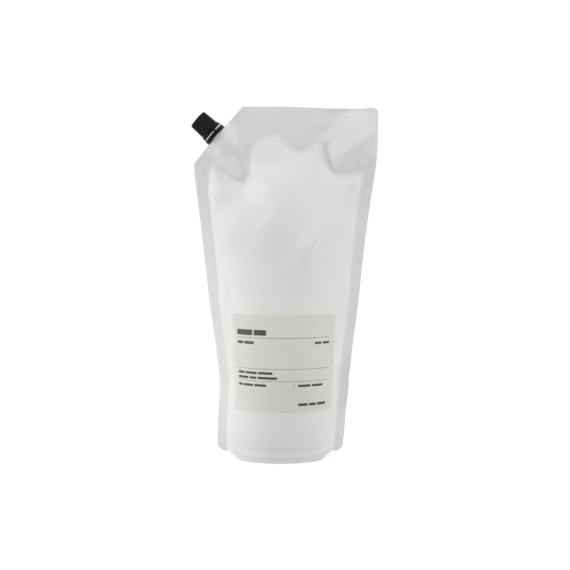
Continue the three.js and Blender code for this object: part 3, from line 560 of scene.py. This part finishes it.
# rows are close where the rim and the folds are, columns where the seals are
rows = np.array(spread(0, 12, 0.6) + spread(12, 180, 2.2) + spread(180, HEIGHT - 2, 1.0)
                + spread(HEIGHT - 2, HEIGHT, 0.4) + [HEIGHT])
columns = np.array(spread(-HALF_FLAT, -60, 0.6) + spread(-60, 60, 1.1) + spread(60, HALF_FLAT, 0.6)
                   + [HALF_FLAT])
SHARP_ANGLE = math.radians(50)
# underside, from the rim inward: distance in, height over the rim's edge
GUSSET_STEPS = [
    (0.25, 0), (RIM_THICKNESS, 0.05), (RIM_THICKNESS + 0.5, GUSSET_GROOVE * 0.6),
    (RIM_THICKNESS + 1, GUSSET_GROOVE * 0.92), (RIM_THICKNESS + 1.8, GUSSET_GROOVE),
    (RIM_THICKNESS + 3.2, GUSSET_GROOVE * 0.75), (GUSSET_RUN * 0.5, GUSSET_GROOVE * 0.3),
    (GUSSET_RUN * 0.75, GUSSET_GROOVE * 0.06), (GUSSET_RUN, 0), (GUSSET_RUN * 1.6, 0),
]
FULL_GUSSET = GUSSET_RUN * 1.9  # half depth of the base from which the steps have full size


def new_object(name, points, faces, material, body, slot):
    mesh = bpy.data.meshes.new(name)
    mesh.from_pydata([tuple(MM * value for value in point) for point in points], [], faces)
    mesh.validate()
    mesh.shade_smooth()
    mesh.set_sharp_from_angle(angle=SHARP_ANGLE)
    mesh.materials.append(material)
    piece = bpy.data.objects.new(name, mesh)
    bpy.context.scene.collection.objects.link(piece)
    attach(piece, body)
    return piece


def gusset_chain(points, front, back):
    """Adds the points under one column, and returns the column's way from front to back."""
    rim, other = points[front], points[back]
    middle, half = (other[1] + rim[1]) / 2, (other[1] - rim[1]) / 2
    if half <= 2 * RIM_THICKNESS:
        return [front, back]
    narrow = min(1.0, half / FULL_GUSSET)
    first = len(points)
    for side, steps in ((-1, GUSSET_STEPS), (1, GUSSET_STEPS[::-1])):
        points += [(rim[0], middle + side * (half - inward * narrow), rim[2] + rise * narrow)
                   for inward, rise in steps]
    return [front, *range(first, len(points)), back]


def make_pouch():
    up, across = np.meshgrid(rows, columns, indexing="ij")
    flat = squeeze_columns(across, up)
    count = len(columns)
    last = (len(rows) - 1) * count
    front = film_points(-1, flat, up).reshape(-1, 3)
    back = film_points(1, flat, up).reshape(-1, 3)
    offset = len(front)
    points = list(map(tuple, front)) + list(map(tuple, back))
    faces = []
    for i in range(len(rows) - 1):
        for j in range(count - 1):
            a = i * count + j
            faces.append((a, a + 1, a + count + 1, a + count))
            faces.append((offset + a + 1, offset + a, offset + a + count, offset + a + count + 1))
        for j, turn in ((0, False), (count - 1, True)):
            a = i * count + j
            edge = (a, a + count, offset + a + count, offset + a)
            faces.append(edge[::-1] if turn else edge)
    for j in range(count - 1):
        faces.append((last + j, last + j + 1, offset + last + j + 1, offset + last + j))
    chains = [gusset_chain(points, j, offset + j) for j in range(count)]
    for a, b in zip(chains[:-1], chains[1:]):
        if len(a) == len(b):
            faces += [(a[k], a[k + 1], b[k + 1], b[k]) for k in range(len(a) - 1)]
            continue
        long, short = (a, b) if len(a) > len(b) else (b, a)
        half = len(long) // 2
        for k in range(len(long) - 1):
            end = short[0] if k < half else short[1]
            faces.append((long[k], long[k + 1], end) if long is a else (long[k + 1], long[k], end))
        faces.append((long[half], *(short[::-1] if long is a else short)))
    return new_object("filled_pouch", points, faces, film, "pack", "film")


pouch = make_pouch()
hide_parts("pouch")
print("pouch:", len(pouch.data.polygons), "faces")

# %% [markdown]
# ## Label and print
# The label is a thin film label, 94 by 77 mm, wrapped on the front. Its print is thin rules and
# plain bars in the places of headings and lines of text; nothing on it can be read.

# %% Label
LABEL_WIDTH, LABEL_HEIGHT, LABEL_BOTTOM = 94.0, 77.0, 40.4
LABEL_LIFT, LABEL_THICKNESS, INK_THICKNESS = 0.015, 0.03, 0.012
LABEL_STEP = 1.1  # size of its facets
HALF_LABEL, LABEL_TOP = LABEL_WIDTH / 2, LABEL_BOTTOM + LABEL_HEIGHT


def film_normal(across, height):
    """Direction straight out of the front film."""
    beside = film_points(-1, across + 0.5, height) - film_points(-1, across - 0.5, height)
    above = film_points(-1, across, height + 0.5) - film_points(-1, across, height - 0.5)
    normal = np.cross(beside, above)
    return normal / np.linalg.norm(normal, axis=-1, keepdims=True)


def patch(low, high, bottom, top, lift):
    """A piece of a layer on the front, between two places across and two heights."""
    xs = np.linspace(low, high, max(2, int((high - low) / LABEL_STEP) + 2))
    zs = np.linspace(bottom, top, max(2, int((top - bottom) / LABEL_STEP) + 2))
    up, across = np.meshgrid(zs, xs, indexing="ij")
    points = film_points(-1, across, up) + lift * film_normal(across, up)
    ids = np.arange(up.size).reshape(up.shape)
    quads = np.stack([ids[:-1, :-1], ids[:-1, 1:], ids[1:, 1:], ids[1:, :-1]], axis=-1)
    edge = np.concatenate([ids[0], ids[1:, -1], ids[-1, -2::-1], ids[-2:0:-1, 0]])
    return points.reshape(-1, 3), quads.reshape(-1, 4).tolist(), edge.tolist()


def layer(areas, lift, thickness):
    """Closed sheets on the front film: one for each area, all of one thickness."""
    points, faces = [], []
    for low, high, bottom, top in areas:
        upper, quads, edge = patch(low, high, bottom, top, lift + thickness)
        lower, _, _ = patch(low, high, bottom, top, lift)
        start, count = len(points), len(upper)
        points += list(map(tuple, upper)) + list(map(tuple, lower))
        faces += [tuple(start + k for k in quad) for quad in quads]
        faces += [tuple(start + count + k for k in quad[::-1]) for quad in quads]
        faces += [(start + b, start + a, start + count + a, start + count + b)
                  for a, b in zip(edge, edge[1:] + edge[:1])]
    return points, faces


label_area = (-HALF_LABEL, HALF_LABEL, LABEL_BOTTOM, LABEL_TOP)
label = new_object("wrapped_label", *layer([label_area], LABEL_LIFT, LABEL_THICKNESS),
                   label_film, "pack", "label")
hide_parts("front_label")

# %% [markdown]
# Rules and bars are counted from the label's left edge and down from its top, as a printer would.

# %% Print
# left, right, top, bottom
RULES = [
    (5.2, 87.2, 18.0, 18.3), (5.2, 87.2, 42.5, 42.75), (5.2, 87.2, 52.1, 52.35),
    (54.6, 54.85, 54.3, 57.1),
]
BARS = [
    (5.2, 20.5, 11.8, 16.2), (22.0, 32.6, 11.8, 16.2),
    (5.2, 11.4, 21.0, 23.2), (12.6, 21.8, 21.0, 23.2),
    (72.6, 79.0, 21.4, 23.2), (80.2, 87.2, 21.4, 23.2),
    (5.2, 12, 45.0, 46.9), (13.2, 24.4, 45.0, 46.9), (25.6, 37.6, 45.0, 46.9),
    (5.2, 16.4, 48.8, 50.7), (17.6, 24, 48.8, 50.7), (25.2, 41.4, 48.8, 50.7),
    (5.2, 9.8, 54.7, 56.6), (11, 21, 54.7, 56.6), (22.2, 32.4, 54.7, 56.6),
    (58.2, 68.6, 54.7, 56.6), (69.8, 80.6, 54.7, 56.6),
    (59.0, 67, 69.6, 71.8), (68.2, 74.6, 69.6, 71.8), (75.8, 84.6, 69.6, 71.8),
]
areas = [(left - HALF_LABEL, right - HALF_LABEL, LABEL_TOP - bottom, LABEL_TOP - top)
         for left, right, top, bottom in RULES + BARS]
new_object("label_rules_and_bars", *layer(areas, LABEL_LIFT + LABEL_THICKNESS, INK_THICKNESS),
           ink, "pack", "label")

# %% [markdown]
# ## Mouldings
# The cap, the tamper band, the spout and the liner keep the shape of their solids.

# %% Mouldings
MOULDINGS = {
    "spout": white_plastic, "tamper_band": black_plastic, "cap": black_plastic, "cap_liner": foam,
}
for node, material in MOULDINGS.items():
    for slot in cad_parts[node].material_slots:
        slot.material = material

# %% [markdown]
# ## Light
# A large soft light low on the left is the strongest. A weaker one on the right and a smaller one
# overhead fill the rest, and so do a soft ceiling, a backdrop behind the pack and faint walls.
# The camera, reflections and rays through clear pieces see plain white instead of those, so the
# background is as white as in the photograph without more light on the pack.

# %% Light
CEILING, WALLS, BACKDROP, CAMERA_SIDE = 1.62, 0.16, 1.66, 0.01


def area_light(name, place, aim, size, power):
    light = bpy.data.lights.new(name, "AREA")
    light.shape = "RECTANGLE"
    light.size, light.size_y = size
    light.energy = power
    lamp = bpy.data.objects.new(name, light)
    bpy.context.scene.collection.objects.link(lamp)
    lamp.location = place
    lamp.rotation_euler = (Vector(aim) - Vector(place)).to_track_quat("-Z", "Y").to_euler()


# metres and watts
area_light("left_window", (-1.3, -0.3, 0.1), aim=(0, 0, 0.12), size=(0.8, 0.8), power=9.8)
area_light("right_fill", (1.3, -0.4, 0.4), aim=(0, 0, 0.14), size=(0.8, 1.2), power=5.8)
area_light("overhead", (0, -0.2, 1.5), aim=(0, 0, 0.1), size=(1.2, 1.2), power=3.0)

world = bpy.data.worlds.new("white_surroundings")
bpy.context.scene.world = world
world.use_nodes = True
background = world.node_tree.nodes["Background"]


def calculate(owner, operation, a, b):
    return add_node(owner, "ShaderNodeMath", {0: a, 1: b}, operation=operation).outputs["Value"]


def facing(value):
    """Grows from 0 at the side to 1 straight ahead, and stays 0 behind."""
    return calculate(world, "POWER", calculate(world, "MAXIMUM", value, 0.0), 2.0)


def sees_white(owner):
    """1 for the rays that see plain white surroundings."""
    rays = add_node(owner, "ShaderNodeLightPath").outputs
    share = rays["Is Camera Ray"]
    for kind in ("Is Glossy Ray", "Is Transmission Ray"):
        share = calculate(owner, "MAXIMUM", share, rays[kind])
    return share


toward = add_node(world, "ShaderNodeSeparateXYZ", {
    "Vector": add_node(world, "ShaderNodeTexCoord").outputs["Generated"],
}).outputs
sideways = calculate(world, "MULTIPLY", toward["X"], toward["X"])
soft_box = CAMERA_SIDE
for share, strength in (
    (facing(toward["Z"]), CEILING), (sideways, WALLS), (facing(toward["Y"]), BACKDROP),
):
    soft_box = calculate(world, "ADD", calculate(world, "MULTIPLY", share, strength), soft_box)
sky = add_node(world, "ShaderNodeMapRange", {
    "Value": sees_white(world), "To Min": soft_box, "To Max": 1.0,
})
link(world, sky.outputs["Result"], background, "Strength")
background.inputs["Color"].default_value = (1, 1, 1, 1)

# %% [markdown]
# ## Floor
# The floor is a pale grey paint that bounces light back at the pack. To the rays that see white
# surroundings most of it is a white glow, over which a faint share of the pack's shadow stays.

# %% Floor
FLOOR_HALF = 6.0  # metres
GLOW_STRENGTH, GLOW_SHARE = 1.07, 0.86
floor_mesh = bpy.data.meshes.new("floor")
floor_mesh.from_pydata([
    (-FLOOR_HALF, -FLOOR_HALF, 0), (FLOOR_HALF, -FLOOR_HALF, 0), (FLOOR_HALF, FLOOR_HALF, 0),
    (-FLOOR_HALF, FLOOR_HALF, 0),
], [], [(0, 1, 2, 3)])
floor = bpy.data.objects.new("floor", floor_mesh)
bpy.context.scene.collection.objects.link(floor)
floor_paint, floor_shader = new_material("matt_white_floor", 0.9, ior=1.5)
mottle(floor_paint, floor_shader, 3.0, "#c5c5c5", "#c7c7c7")
glow = add_node(floor_paint, "ShaderNodeEmission", {
    "Color": (1, 1, 1, 1), "Strength": GLOW_STRENGTH,
})
mixed = add_node(floor_paint, "ShaderNodeMixShader", {
    0: calculate(floor_paint, "MULTIPLY", sees_white(floor_paint), GLOW_SHARE),
    1: floor_shader.outputs["BSDF"], 2: glow.outputs["Emission"],
})
floor_output = floor_paint.node_tree.nodes["Material Output"]
link(floor_paint, mixed.outputs["Shader"], floor_output, "Surface")
floor_mesh.materials.append(floor_paint)

bpy.context.scene.view_settings.view_transform = "Standard"
